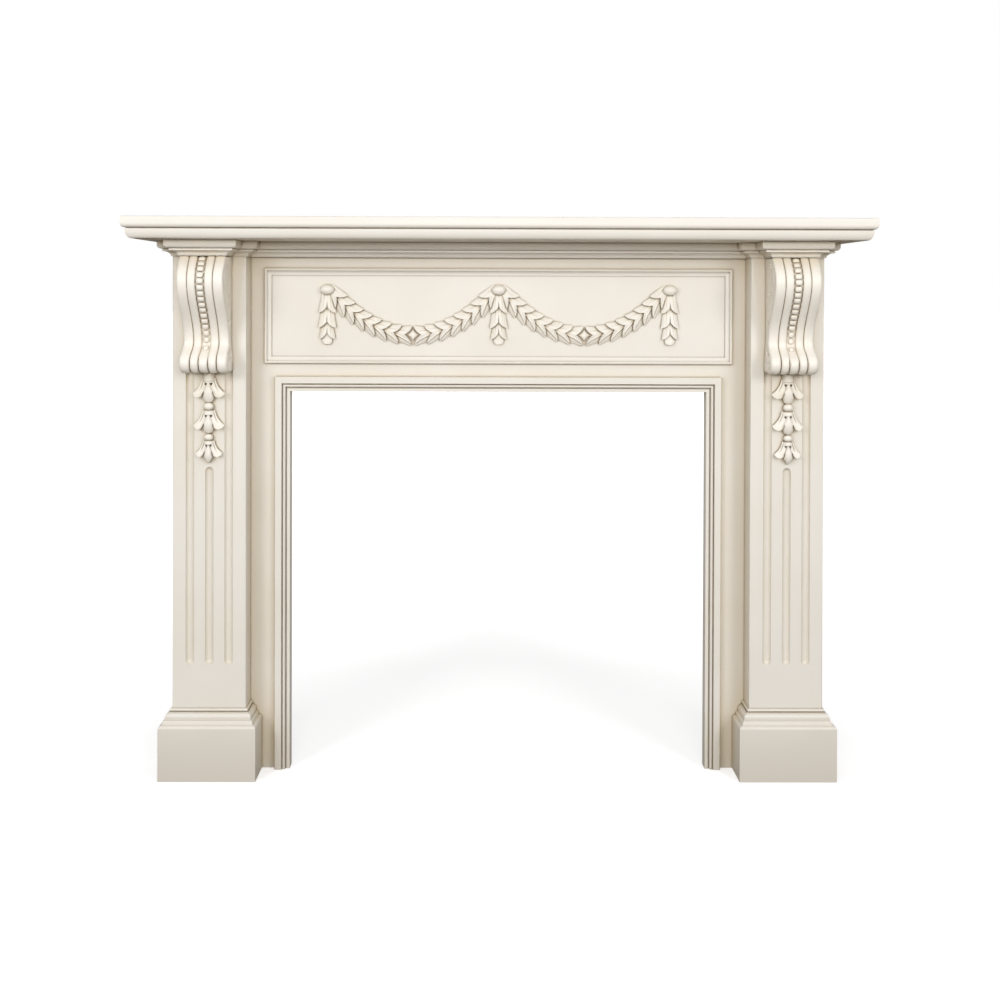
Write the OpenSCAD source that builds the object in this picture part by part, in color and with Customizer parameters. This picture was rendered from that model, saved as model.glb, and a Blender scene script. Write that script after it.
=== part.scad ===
// Painted timber fireplace surround with fluted pilasters, scroll corbels and carved swags.
// The wall is the plane behind the piece, the hearth is z = 0 and the front faces -Y.

/* [Opening] */
// Clear width of the fireplace opening
opening_w = 1006; // [840:1:1210]
// Clear height of the fireplace opening
opening_h = 914; // [760:1:1100]

/* [Boards] */
// Thickness of the frieze and jamb boards
board_t = 25; // [18:1:30]
// Thickness of the pilaster side boards
side_t = 18; // [12:1:24]
// Depth left open behind the frieze and jamb boards
rebate_d = 18; // [12:1:24]
// Visible width of each jamb board, from the opening to the pilaster
jamb_w = 96; // [80:1:120]
// Height from the top of the opening to the underside of the shelf
frieze_h = 360; // [330:1:440]

/* [Pilasters] */
// Width of each pilaster
pilaster_w = 174; // [150:1:210]
// Depth of each pilaster from the wall to its face
pilaster_d = 100; // [84:1:120]
// Width of one flute
flute_w = 20; // [14:1:24]
// Depth of one flute
flute_depth = 8; // [5:1:10]
// Distance between the centres of neighbouring flutes
flute_pitch = 46; // [38:1:56]
// Height of the flutes' lower ends above the hearth
flute_bottom = 268; // [220:1:320]

/* [Plinths] */
// Height of the plinth blocks
plinth_h = 124; // [104:1:150]
// How far the plinth boards stand out from the pilaster, which is their thickness
plinth_t = 28; // [24:1:34]
// Height of the moulding on top of the plinth
base_moulding_h = 41; // [34:1:50]

/* [Shelf] */
// Thickness of the top board of the shelf
shelf_t = 26; // [20:1:32]
// Thickness of the moulded board under the shelf
underboard_t = 24; // [20:1:29]
// Overhang of the shelf past the outer side of each pilaster
shelf_end = 77; // [64:1:94]
// Overhang of the shelf past the caps of the corbels
shelf_front = 59; // [49:1:71]
// Overhang of the top board past the board under it
nosing = 8; // [6:1:10]

/* [Bed moulding] */
// Height of the moulding under the shelf
bed_h = 36; // [30:1:44]
// Largest projection of the moulding under the shelf
bed_p = 30; // [25:1:36]
// Thickness of the packing behind the frieze's length of that moulding
bed_packing = 20; // [16:1:24]

/* [Corbels] */
// Width of each corbel
corbel_w = 105; // [88:1:122]
// Height of each corbel below its cap
corbel_h = 274; // [228:1:310]
// Projection of the corbel's head from the pilaster
head_p = 70; // [60:1:84]
// Largest projection of the corbel, at the bulge below its head
bulge_p = 103; // [90:1:124]
// Projection of the corbel at its waist
waist_p = 34; // [28:1:40]
// Radius of the scroll at the corbel's foot
scroll_r = 24.5; // [20:0.5:29]
// Distance from the pilaster to the middle of that scroll
scroll_p = 46; // [38:1:54]
// Number of beads in the string down the corbel
bead_count = 14; // [11:1:17]

/* [Husk drops] */
// Width of the largest husk
husk_w = 73; // [60:1:84]
// Height of one husk
husk_h = 54; // [45:1:59]
// Relief of the husks from the pilaster's face
husk_relief = 20; // [16:1:24]
// Diameter of the balls between the husks
husk_ball = 22; // [18:1:26]
// Height of the stub that hangs the husks from the corbel
stub_h = 18; // [14:1:22]

/* [Architrave] */
// Width of the moulding round the opening
architrave_w = 36; // [30:1:44]
// Thickness of that moulding at its outer edge
architrave_t = 14; // [12:1:17]

/* [Frieze panel] */
// Margin between the pilasters and the frame of the panel
panel_side = 33; // [26:1:40]
// Margin between the bed moulding and the frame of the panel
panel_top = 26; // [20:1:34]
// Margin between the architrave and the frame of the panel
panel_bottom = 31; // [24:1:38]
// Width of the moulding that frames the panel
panel_moulding_w = 17; // [14:1:21]
// Thickness of the moulding that frames the panel
panel_moulding_t = 9; // [7:1:11]

/* [Swags] */
// Distance between the centres of neighbouring drops
drop_spacing = 414; // [345:1:450]
// Height from the foot of the panel's frame to the balls of the drops
drop_rise = 179; // [150:1:185]
// Diameter of the ball at the top of each drop
ball_w = 30; // [24:1:36]
// Height of a garland's ends above its lowest point
swag_rise = 94; // [78:1:112]
// Distance from the centre of a drop to the end of a garland
swag_gap = 24; // [20:1:30]
// Pairs of leaves in half a garland
swag_pairs = 8; // [7:1:10]
// Length of one leaf
leaf_l = 40; // [34:1:46]
// Width of one leaf
leaf_w = 20; // [16:1:24]
// Relief of the leaves from the panel
leaf_t = 9; // [7:1:11]

/* [Hidden] */
$fn = 48;
WOOD = "ivory";
TRIM = "floralwhite";
CARVING = "antiquewhite";

// Places across the width, measured from the centre line
opening_x = opening_w / 2;
pilaster_in = opening_x + jamb_w;
pilaster_out = pilaster_in + pilaster_w;
pilaster_mid = (pilaster_in + pilaster_out) / 2;
shelf_x = pilaster_out + shelf_end;

// Places in depth, measured forward from the wall
recess_d = rebate_d + board_t;
shelf_d = pilaster_d + head_p + bed_p + shelf_front;

// Heights above the hearth
bed_top = opening_h + frieze_h;
bed_bottom = bed_top - bed_h;
corbel_bottom = bed_bottom - corbel_h;
architrave_top = opening_h + architrave_w;
panel_low = architrave_top + panel_bottom;
panel_high = bed_bottom - panel_top;
panel_x = pilaster_in - panel_side;

// Inner edge of the panel's frame
panel_in_x = panel_x - panel_moulding_w;
panel_in_low = panel_low + panel_moulding_w;
panel_in_high = panel_high - panel_moulding_w;

// Bed moulding and corbels
cornice_d = recess_d + bed_packing;
corbel_in = pilaster_mid - corbel_w / 2;
corbel_out = pilaster_mid + corbel_w / 2;
bulge_drop = 58;
waist_drop = corbel_h - 72;
scroll_start = 40;

// Husks, one above the other with a ball between each pair
husk_pitch = husk_h + husk_ball - 3;
husk_low = corbel_bottom - stub_h - 2 * husk_pitch - 1.08 * husk_h;

// Swags
drop_z = panel_low + drop_rise;
swag_end_z = drop_z - ball_w / 2 - 2;
swag_span = drop_spacing / 2 - swag_gap;
leaf_tilt = 7;
// Part of a pair's spacing that the boss at a garland's middle takes up
boss_share = 0.25;

// Points of an arc about a centre, from one angle to another
function arc(c, r, from, to, steps = 8) =
  [for (i = [0:steps]) let (a = from + (to - from) * i / steps) c + r * [cos(a), sin(a)]];

// Point on a curve with four control points, for t from 0 to 1
function curve(p, t) = let (u = 1 - t)
  u * u * u * p[0] + 3 * t * u * u * p[1] + 3 * t * t * u * p[2] + t * t * t * p[3];

// Completes the right half of an outline with its mirror image
function both_halves(q) =
  concat(q, [for (i = [len(q) - 1:-1:0]) if (q[i][0] > 0) [-q[i][0], q[i][1]]]);

// Stretches an outline by one factor across and another up
function stretch(outline, fx, fy) = [for (q = outline) [q[0] * fx, q[1] * fy]];

// Puts a piece that was drawn with the wall at y = 0 into the part's frame
module in_place(side = 1) {
  translate([0, shelf_d / 2, 0]) mirror([side < 0 ? 1 : 0, 0, 0]) children();
}

// A board by its limits across, in depth from the wall, and in height
module board(x0, x1, d0, d1, z0, z1) {
  translate([x0, -d1, z0]) cube([x1 - x0, d1 - d0, z1 - z0]);
}

// Everything on one side of an upright plane through the z axis, used to cut mitres
module cutter(angle, size) {
  rotate([0, 0, angle]) translate([0, -size, -size]) cube([size, 2 * size, 2 * size]);
}

// A length of moulding along +X. The outline gives projection from the wall and height.
// An end is 1 for a mitre that lengthens the outer edge, -1 for one that shortens it and
// 0 for a square cut. A flat moulding is mitred in the plane of the wall, as a frame is.
module moulding(outline, run, start = 0, end = 0, flat = false) {
  reach = max([for (q = outline) max(q[0], q[1])]) + 1;
  difference() {
    translate([-reach, 0, 0]) rotate([90, 0, 90]) linear_extrude(run + 2 * reach)
      polygon([for (q = outline) [-q[0], q[1]]]);
    rotate([flat ? -90 : 0, 0, 0]) {
      rotate([0, 0, 180]) cutter(-45 * start, 4 * reach);
      translate([run, 0, 0]) cutter(45 * end, 4 * reach);
    }
  }
}

// Lays a moulding along the front, the outer side or the inner side of the right-hand pilaster
module along_front(x, d, z) { translate([x, -d, z]) children(); }
module along_outer(x, d, z) { translate([x, -d, z]) rotate([0, 0, 90]) children(); }
module along_inner(x, d, z) { translate([x, -d, z]) rotate([0, 0, -90]) children(); }

// ---- Shelf ----

// End view of a board's moulded edge: rounded below and eased above
function shelf_edge(x, t) = concat(
  [[0, 0]],
  arc([x - 9, 9], 9, -90, 0),
  arc([x - 3, t - 3], 3, 0, 90, 4),
  [[0, t]]);

// End view of an ovolo under a shallow quirk, narrower at its foot
function ovolo_edge(x, t) = concat(
  [[0, 0]],
  [for (a = [0:10:90]) [x - 12 + 12 * sin(a), (t - 2) * (1 - cos(a))]],
  [[x - 3, t - 2], [x - 3, t], [0, t]]);

// A board whose front and two ends share one moulded edge
module edged_board(half_l, depth, front, ends) {
  intersection() {
    translate([-half_l, 0, 0]) rotate([90, 0, 90]) linear_extrude(2 * half_l)
      polygon([for (q = front) [-q[0], q[1]]]);
    rotate([90, 0, 0]) linear_extrude(depth) polygon(both_halves(ends));
  }
}

module shelf_board() {
  color(WOOD) translate([0, 0, bed_top + underboard_t])
    edged_board(shelf_x, shelf_d, shelf_edge(shelf_d, shelf_t), shelf_edge(shelf_x, shelf_t));
}

module shelf_underboard() {
  x = shelf_x - nosing;
  d = shelf_d - nosing;
  color(TRIM) translate([0, 0, bed_top])
    edged_board(x, d, ovolo_edge(d, underboard_t), ovolo_edge(x, underboard_t));
}

// ---- Frieze and jambs ----

module frieze_board() {
  color(WOOD) board(-pilaster_in, pilaster_in, rebate_d, recess_d, opening_h, bed_top);
}

module jamb_board() {
  color(WOOD) board(opening_x, pilaster_in, rebate_d, recess_d, 0, opening_h);
}

// ---- Pilasters ----

// A round-bottomed groove with rounded ends, cut into the pilaster's face
module flute(x, low, high) {
  r = (flute_w * flute_w / 4 + flute_depth * flute_depth) / (2 * flute_depth);
  translate([x, -(pilaster_d + r - flute_depth), 0]) {
    translate([0, 0, low + r]) cylinder(r = r, h = high - low - 2 * r);
    for (z = [low + r, high - r]) translate([0, 0, z]) sphere(r = r);
  }
}

module pilaster_front() {
  color(WOOD) difference() {
    board(pilaster_in, pilaster_out, pilaster_d - board_t, pilaster_d, 0, bed_top);
    for (side = [-1, 1])
      flute(pilaster_mid + side * flute_pitch, flute_bottom, corbel_bottom + flute_w);
    flute(pilaster_mid, flute_bottom, husk_low - 3);
  }
}

module pilaster_outer_side() {
  color(WOOD) board(pilaster_out - side_t, pilaster_out, 0, pilaster_d - board_t, 0, bed_top);
}

module pilaster_inner_side() {
  color(WOOD) board(pilaster_in, pilaster_in + side_t, 0, pilaster_d - board_t, 0, bed_top);
}

// ---- Plinths ----

PLINTH = [[0, 0], [plinth_t, 0], [plinth_t, plinth_h], [0, plinth_h]];

// Moulding on the plinth: rounded ledge, hollow, rounded member and bead, drawn 28 by 41
BASE = stretch(concat(
  [[0, 0], [28, 0]],
  arc([22, 0], 6, 0, 80, 6),
  [[20, 7], [18.5, 14], [16.5, 16], [14.5, 16.5], [14.5, 18]],
  arc([6.5, 23], 8, -20, 70, 8),
  [[7, 31.5], [7, 33.5], [3.5, 33.5]],
  arc([2.5, 37.5], 3, -70, 90, 6),
  [[0, 41]]), plinth_t / 28, base_moulding_h / 41);

// The three lengths that wrap the foot of a pilaster
module foot_front(outline, z) {
  along_front(pilaster_in, pilaster_d, z) moulding(outline, pilaster_w, 1, 1);
}
module foot_outer(outline, z) {
  along_outer(pilaster_out, pilaster_d, z) moulding(outline, pilaster_d, 1, 0);
}
module foot_inner(outline, z) {
  along_inner(pilaster_in, recess_d, z) moulding(outline, pilaster_d - recess_d, 0, 1);
}

module plinth_front() { color(WOOD) foot_front(PLINTH, 0); }
module plinth_outer_side() { color(WOOD) foot_outer(PLINTH, 0); }
module plinth_inner_side() { color(WOOD) foot_inner(PLINTH, 0); }
module base_moulding_front() { color(TRIM) foot_front(BASE, plinth_h); }
module base_moulding_outer() { color(TRIM) foot_outer(BASE, plinth_h); }
module base_moulding_inner() { color(TRIM) foot_inner(BASE, plinth_h); }

// ---- Bed moulding, which also caps the corbels ----

// Fillet, cove, fillet, quirk and ovolo from the foot up, drawn 30 by 36
BED = stretch(concat(
  [[0, 0], [3, 0], [3, 2]],
  [for (a = [0:15:90]) [20 - 16 * cos(a), 2 + 9.5 * sin(a)]],
  [[20, 15.5], [18.5, 15.5], [18.5, 17]],
  arc([21.5, 25.5], 8.5, -90, 0),
  [[30, 36], [0, 36]]), bed_p / 30, bed_h / 36);

module frieze_cornice() {
  color(TRIM) {
    along_front(-pilaster_in, cornice_d, bed_bottom) moulding(BED, 2 * pilaster_in, -1, -1);
    board(-pilaster_in, pilaster_in, recess_d, cornice_d, bed_bottom, bed_top);
  }
}

module cornice_inner_end() {
  color(TRIM) along_inner(pilaster_in, cornice_d, bed_bottom)
    moulding(BED, pilaster_d - cornice_d, -1, 1);
}

module cornice_outer_end() {
  color(TRIM) along_outer(pilaster_out, pilaster_d, bed_bottom)
    moulding(BED, pilaster_d, 1, 0);
}

module cornice_inner_front() {
  color(TRIM) along_front(pilaster_in, pilaster_d, bed_bottom)
    moulding(BED, corbel_in - pilaster_in, 1, -1);
}

module cornice_outer_front() {
  color(TRIM) along_front(corbel_out, pilaster_d, bed_bottom)
    moulding(BED, pilaster_out - corbel_out, -1, 1);
}

module cap_front() {
  color(TRIM) along_front(corbel_in, pilaster_d + head_p, bed_bottom)
    moulding(BED, corbel_w, 1, 1);
}

module cap_outer() {
  color(TRIM) along_outer(corbel_out, pilaster_d + head_p, bed_bottom)
    moulding(BED, head_p, 1, -1);
}

module cap_inner() {
  color(TRIM) along_inner(corbel_in, pilaster_d, bed_bottom)
    moulding(BED, head_p, -1, 1);
}

// ---- Corbels ----

// Projection of the corbel's face at a depth h below its cap
function face_p(h) =
  h <= bulge_drop
  ? bulge_p - (bulge_p - head_p) * (1 - sin(90 * h / bulge_drop))
  : waist_p + (bulge_p - waist_p)
    * (0.5 + 0.5 * cos(180 * (h - bulge_drop) / (waist_drop - bulge_drop)));

// Outline of the corbel from the side below its head, drawn in by an inset. Under the waist
// it swings out to the scroll, which it meets at the angle scroll_start.
function corbel_outline(inset) =
  let (
    middle = [scroll_p, scroll_r - corbel_h],
    heading = [sin(scroll_start), -cos(scroll_start)],
    waist = [waist_p - inset, -waist_drop],
    meeting = middle + (scroll_r - inset) * [cos(scroll_start), sin(scroll_start)],
    swing = 0.4 * (meeting[0] - waist[0])
  )
  concat(
    [[0, bed_h], [head_p, bed_h], [head_p, 0]],
    [for (i = [0:29]) let (h = i * waist_drop / 30) [face_p(h) - inset, -h]],
    [for (i = [0:7])
      curve([waist, waist - [0, swing], meeting - swing * heading, meeting], i / 8)],
    arc(middle, scroll_r - inset, scroll_start, -90, 12),
    [[0, inset - corbel_h]]);

module corbel_slice(x, w, inset) {
  translate([x - w / 2, -pilaster_d, bed_bottom]) rotate([90, 0, 90]) linear_extrude(w)
    polygon([for (q = corbel_outline(inset)) [-q[0], q[1]]]);
}

// A rounded rib that follows the corbel's face
module reed(x, w) {
  corbel_slice(x, w - 1, 3.5);
  corbel_slice(x, w - 4, 1.2);
  corbel_slice(x, w - 9, 0);
}

module corbel() {
  outer_w = corbel_w * 0.22;
  inner_w = corbel_w * 0.18;
  bead_r = corbel_w * 0.08;
  string_h = waist_drop - bead_r;
  color(CARVING) {
    corbel_slice(pilaster_mid, corbel_w, 6);
    for (side = [-1, 1]) {
      reed(pilaster_mid + side * (corbel_w - outer_w) / 2, outer_w);
      reed(pilaster_mid + side * (corbel_w / 2 - outer_w - inner_w / 2), inner_w);
    }
    for (i = [0:bead_count - 1]) {
      h = string_h * (i + 0.5) / bead_count;
      translate([pilaster_mid, -pilaster_d - face_p(h) + bead_r, bed_bottom - h])
        sphere(r = bead_r);
    }
  }
}

// ---- Husk drops ----

// Right half of a husk's front outline below its neck, for half-width 1 and height 1
HUSK = [
  [0, 0], [0.26, 0], [0.34, -0.12], [0.42, -0.3], [0.6, -0.46], [0.84, -0.56], [1, -0.62],
  [0.94, -0.74], [0.76, -0.82], [0.58, -0.8], [0.44, -0.7], [0.4, -0.86], [0.26, -0.97],
];

// A bell-shaped husk with two side petals and a longer middle one
module husk(w, h, tip) {
  half = stretch(concat(HUSK, [[0, tip]]), w / 2, h);
  reach = 0.575 * w;
  r = (reach * reach + husk_relief * husk_relief) / (2 * husk_relief);
  sunk = r - husk_relief;
  intersection() {
    rotate([90, 0, 0]) linear_extrude(husk_relief) polygon(both_halves(half));
    translate([0, sunk, -1.1 * h]) rotate_extrude() polygon([
      [0, 0], [r - 4, 0], [r, 0.4 * h], [r - 1, 0.6 * h], [sunk + 9, 1.1 * h], [0, 1.1 * h]]);
  }
}

// The front part of a ball that stands in relief from the plane y = 0
module ball(d) {
  intersection() {
    translate([0, -d / 3, 0]) rotate([90, 0, 0]) sphere(d = d);
    translate([-d, -d, -d]) cube([2 * d, d, 2 * d]);
  }
}

// Three husks, each smaller than the one above, with balls between them and a stub on top
module husk_drop() {
  color(CARVING) translate([pilaster_mid, -pilaster_d, corbel_bottom - stub_h]) {
    intersection() {
      translate([0, -4, 0]) cylinder(r = 9, h = stub_h);
      translate([-20, -20, -1]) cube([40, 20, stub_h + 2]);
    }
    for (i = [0:2]) translate([0, 0, -i * husk_pitch]) {
      husk(husk_w * (1 - 0.05 * i - 0.04 * i * i / 2), husk_h, i == 2 ? -1.08 : -1);
      if (i < 2) translate([0, 0, 1.5 - husk_h - husk_ball / 2]) ball(husk_ball);
    }
  }
}

// ---- Architrave ----

// From the opening outward: low fillet, step, bead, quirk and a broad band, drawn 14 by 36
ARCHITRAVE = stretch(concat(
  [[0, 0], [5.5, 0], [6, 0.5], [6, 7.5], [4, 8], [4, 10.5]],
  arc([8, 14.3], 3.7, -80, 80, 6),
  [[9.5, 18.2], [9.5, 19.4], [13.2, 19.4], [14, 20.2], [14, 34.5], [12.5, 36], [0, 36]]),
  architrave_t / 14, architrave_w / 36);

module architrave_head() {
  color(TRIM) translate([-opening_x, -recess_d, opening_h])
    moulding(ARCHITRAVE, opening_w, 1, 1, true);
}

module architrave_side() {
  color(TRIM) translate([opening_x, -recess_d, opening_h]) rotate([0, 90, 0])
    moulding(ARCHITRAVE, opening_h, 1, 0, true);
}

// ---- Frieze panel ----

// From the panel outward: fillet, hollow and a rounded outer bead, drawn 9 by 17
PANEL = stretch(concat(
  [[0, 0], [2.5, 0], [2.5, 2]],
  [for (a = [0:15:90]) [2.5 + 3.5 * (1 - cos(a)), 2 + 8 * sin(a)]],
  [[6, 11]],
  arc([5.5, 13.5], 3.5, -60, 80, 8),
  [[0, 17]]), panel_moulding_t / 9, panel_moulding_w / 17);

module panel_moulding_top() {
  color(TRIM) translate([-panel_in_x, -recess_d, panel_in_high])
    moulding(PANEL, 2 * panel_in_x, 1, 1, true);
}

module panel_moulding_bottom() {
  color(TRIM) translate([panel_in_x, -recess_d, panel_in_low]) rotate([0, 180, 0])
    moulding(PANEL, 2 * panel_in_x, 1, 1, true);
}

module panel_moulding_side() {
  color(TRIM) translate([panel_in_x, -recess_d, panel_in_high]) rotate([0, 90, 0])
    moulding(PANEL, panel_in_high - panel_in_low, 1, 1, true);
}

// ---- Swags ----

// A pointed leaf along +X with a ridge down its middle, which reaches t above z = 0
module leaf(l, w, t) {
  r = (l * l + w * w) / (4 * w);
  intersection() {
    translate([l / 2, r - w / 2, -t]) cylinder(r = r, h = 3 * t);
    translate([l / 2, w / 2 - r, -t]) cylinder(r = r, h = 3 * t);
    rotate([90, 0, 90]) linear_extrude(l)
      polygon([[-w / 2, -t], [w / 2, -t], [w / 2, 0.3 * t], [0, t], [-w / 2, 0.3 * t]]);
  }
}

// A leaf on the panel from a point, at an angle from +X, with its tip raised
module laid_leaf(x, z, angle, l, w, t) {
  translate([x, 0, z]) rotate([90, 0, 0]) rotate([0, 0, angle]) rotate([0, -leaf_tilt, 0])
    leaf(l, w, t);
}

// Keeps what stands in front of the panel
module on_panel() {
  reach = drop_spacing + ball_w;
  translate([0, -recess_d, 0]) intersection() {
    union() children();
    translate([-reach, -reach, 0]) cube([2 * reach, reach, 2 * bed_top]);
  }
}

// Height of a hanging chain over its lowest point, for x from -1 to 1
CHAIN = 0.95;
function chain(x) = (exp(CHAIN * x) + exp(-CHAIN * x) - 2) / (exp(CHAIN) + exp(-CHAIN) - 2);

// Place across the chain of the point that is a share f of the way along it from the middle
function chain_x(f) = let (v = f * (exp(CHAIN) - exp(-CHAIN)) / 2) ln(v + sqrt(v * v + 1)) / CHAIN;
function swag_z(x) = swag_end_z - swag_rise * (1 - chain(x / swag_span));

// A ball with three pairs of leaves hanging from it, one pair over the next, and a tip leaf
module swag_drop(x) {
  pair_l = leaf_l * 1.1;
  pair_pitch = leaf_l * 0.78;
  color(CARVING) on_panel() translate([x, 0, drop_z]) {
    translate([0, -ball_w / 6, 0]) rotate([90, 0, 0]) sphere(d = ball_w);
    laid_leaf(0, -ball_w / 3 - 2.4 * pair_pitch, -90, leaf_l, 0.8 * leaf_w, leaf_t);
    for (i = [0:2], side = [-1, 1])
      laid_leaf(side * 4, -ball_w / 3 - i * pair_pitch, -90 + 14 * side,
        pair_l, leaf_w, leaf_t + 2 - i);
  }
}

// Pairs of leaves along a hanging line that point to its middle, where a small boss ties them
module garland() {
  color(CARVING) on_panel() translate([drop_spacing / 2, 0, 0]) {
    for (i = [0:swag_pairs - 1], side = [-1, 1]) {
      x = swag_span * chain_x(1 - i / (swag_pairs - boss_share));
      slope = atan2(swag_z(x) - swag_z(x - 1), 1);
      for (fan = [-1, 1])
        laid_leaf(side * x, swag_z(x), 90 + side * (90 + slope + 22 * fan),
          leaf_l, leaf_w, leaf_t);
    }
    laid_leaf(0, swag_z(0) - leaf_w, 90, 2 * leaf_w, 0.8 * leaf_w, leaf_t);
    for (side = [0, 180]) laid_leaf(0, swag_z(0), side, leaf_l, 0.8 * leaf_w, leaf_t);
  }
}

// ---- The whole piece ----

in_place() shelf_board();
in_place() shelf_underboard();
in_place() frieze_board();
in_place() frieze_cornice();
in_place() architrave_head();
in_place() panel_moulding_top();
in_place() panel_moulding_bottom();
in_place() swag_drop(0);  // centre_swag_drop
in_place(-1) jamb_board();  // left_jamb_board
in_place(1) jamb_board();  // right_jamb_board
in_place(-1) pilaster_front();  // left_pilaster_front
in_place(1) pilaster_front();  // right_pilaster_front
in_place(-1) pilaster_outer_side();  // left_pilaster_outer_side
in_place(1) pilaster_outer_side();  // right_pilaster_outer_side
in_place(-1) pilaster_inner_side();  // left_pilaster_inner_side
in_place(1) pilaster_inner_side();  // right_pilaster_inner_side
in_place(-1) plinth_front();  // left_plinth_front
in_place(1) plinth_front();  // right_plinth_front
in_place(-1) plinth_outer_side();  // left_plinth_outer_side
in_place(1) plinth_outer_side();  // right_plinth_outer_side
in_place(-1) plinth_inner_side();  // left_plinth_inner_side
in_place(1) plinth_inner_side();  // right_plinth_inner_side
in_place(-1) base_moulding_front();  // left_base_moulding_front
in_place(1) base_moulding_front();  // right_base_moulding_front
in_place(-1) base_moulding_outer();  // left_base_moulding_outer
in_place(1) base_moulding_outer();  // right_base_moulding_outer
in_place(-1) base_moulding_inner();  // left_base_moulding_inner
in_place(1) base_moulding_inner();  // right_base_moulding_inner
in_place(-1) corbel();  // left_corbel
in_place(1) corbel();  // right_corbel
in_place(-1) cap_front();  // left_cap_front
in_place(1) cap_front();  // right_cap_front
in_place(-1) cap_outer();  // left_cap_outer
in_place(1) cap_outer();  // right_cap_outer
in_place(-1) cap_inner();  // left_cap_inner
in_place(1) cap_inner();  // right_cap_inner
in_place(-1) cornice_outer_end();  // left_cornice_outer_end
in_place(1) cornice_outer_end();  // right_cornice_outer_end
in_place(-1) cornice_outer_front();  // left_cornice_outer_front
in_place(1) cornice_outer_front();  // right_cornice_outer_front
in_place(-1) cornice_inner_front();  // left_cornice_inner_front
in_place(1) cornice_inner_front();  // right_cornice_inner_front
in_place(-1) cornice_inner_end();  // left_cornice_inner_end
in_place(1) cornice_inner_end();  // right_cornice_inner_end
in_place(-1) husk_drop();  // left_husk_drop
in_place(1) husk_drop();  // right_husk_drop
in_place(-1) architrave_side();  // left_architrave
in_place(1) architrave_side();  // right_architrave
in_place(-1) panel_moulding_side();  // left_panel_moulding
in_place(1) panel_moulding_side();  // right_panel_moulding
in_place(-1) swag_drop(drop_spacing);  // left_swag_drop
in_place(1) swag_drop(drop_spacing);  // right_swag_drop
in_place(-1) garland();  // left_garland
in_place(1) garland();  // right_garland
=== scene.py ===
import math

import bmesh
import bpy
import numpy as np
from mathutils import Matrix, Vector


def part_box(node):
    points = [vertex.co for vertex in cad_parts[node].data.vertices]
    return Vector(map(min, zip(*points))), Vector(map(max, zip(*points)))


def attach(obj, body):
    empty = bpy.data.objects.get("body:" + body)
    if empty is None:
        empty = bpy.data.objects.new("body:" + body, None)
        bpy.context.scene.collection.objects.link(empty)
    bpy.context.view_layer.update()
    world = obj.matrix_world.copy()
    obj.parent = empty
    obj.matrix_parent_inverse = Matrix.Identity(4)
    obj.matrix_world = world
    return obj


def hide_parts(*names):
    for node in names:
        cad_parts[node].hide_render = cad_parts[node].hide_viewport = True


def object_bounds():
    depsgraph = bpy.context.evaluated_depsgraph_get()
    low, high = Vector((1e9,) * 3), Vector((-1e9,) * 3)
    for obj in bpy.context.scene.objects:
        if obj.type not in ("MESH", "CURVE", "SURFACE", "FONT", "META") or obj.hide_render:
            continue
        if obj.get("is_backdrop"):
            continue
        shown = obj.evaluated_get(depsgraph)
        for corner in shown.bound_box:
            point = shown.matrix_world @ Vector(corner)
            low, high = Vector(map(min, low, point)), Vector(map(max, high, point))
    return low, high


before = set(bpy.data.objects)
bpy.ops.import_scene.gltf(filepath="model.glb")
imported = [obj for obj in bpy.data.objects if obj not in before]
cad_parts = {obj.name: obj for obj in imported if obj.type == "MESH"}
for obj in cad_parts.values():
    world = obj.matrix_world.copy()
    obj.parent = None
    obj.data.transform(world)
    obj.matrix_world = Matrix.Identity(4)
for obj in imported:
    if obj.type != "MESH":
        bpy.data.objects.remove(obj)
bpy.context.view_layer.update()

# A painted fireplace mantelpiece. Its boards and mouldings keep the frame's shapes, and carved
# corbels, husk drops, leaf drops and garlands take the place of the frame's plain ones.

MM = 0.001

# ---- Places taken from the frame, in metres ----

PILASTER_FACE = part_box("left_pilaster_front")[0].y
PANEL_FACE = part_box("frieze_board")[0].y
PILASTER_X = sum(corner.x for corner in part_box("right_pilaster_front")) / 2
CAP_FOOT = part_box("left_cap_front")[0].z
CORBEL_LOW, CORBEL_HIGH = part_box("right_corbel")
CORBEL_W = CORBEL_HIGH.x - CORBEL_LOW.x
CORBEL_H = CAP_FOOT - CORBEL_LOW.z
HUSK_TOP = CORBEL_LOW.z
# The middle of a leaf drop's boss, which lies this far under the drop's top
BOSS_RISE = 15 * MM
DROP_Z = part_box("centre_swag_drop")[1].z - BOSS_RISE
GARLAND_X = sum(corner.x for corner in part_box("right_garland")) / 2


# ---- Mesh helpers: a part is an array of points and a list of faces ----

# How far the back of a carved piece runs into the board behind it
SUNK = 1.5 * MM
# Points of a carving that lie closer than SAME_POINT become one, and edges under NO_LENGTH go
SAME_POINT = 0.02 * MM
NO_LENGTH = 0.01 * MM
# Edges of a carving that bend by more than this stay sharp, in degrees
CARVED_SHARP = 38


def grid_faces(rows, cols, closed=False):
    """Quads of a grid of points, joined round from the last column to the first if it is closed."""
    span = cols if closed else cols - 1
    return [
        (r * cols + c, r * cols + (c + 1) % cols, (r + 1) * cols + (c + 1) % cols, (r + 1) * cols + c)
        for r in range(rows - 1)
        for c in range(span)
    ]


def rim_of(rows, cols):
    """Indices of a grid's outermost points, in order round it."""
    top = list(range(cols))
    right = [r * cols + cols - 1 for r in range(1, rows)]
    bottom = [(rows - 1) * cols + c for c in range(cols - 2, -1, -1)]
    left = [r * cols for r in range(rows - 2, 0, -1)]
    return top + right + bottom + left


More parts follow.
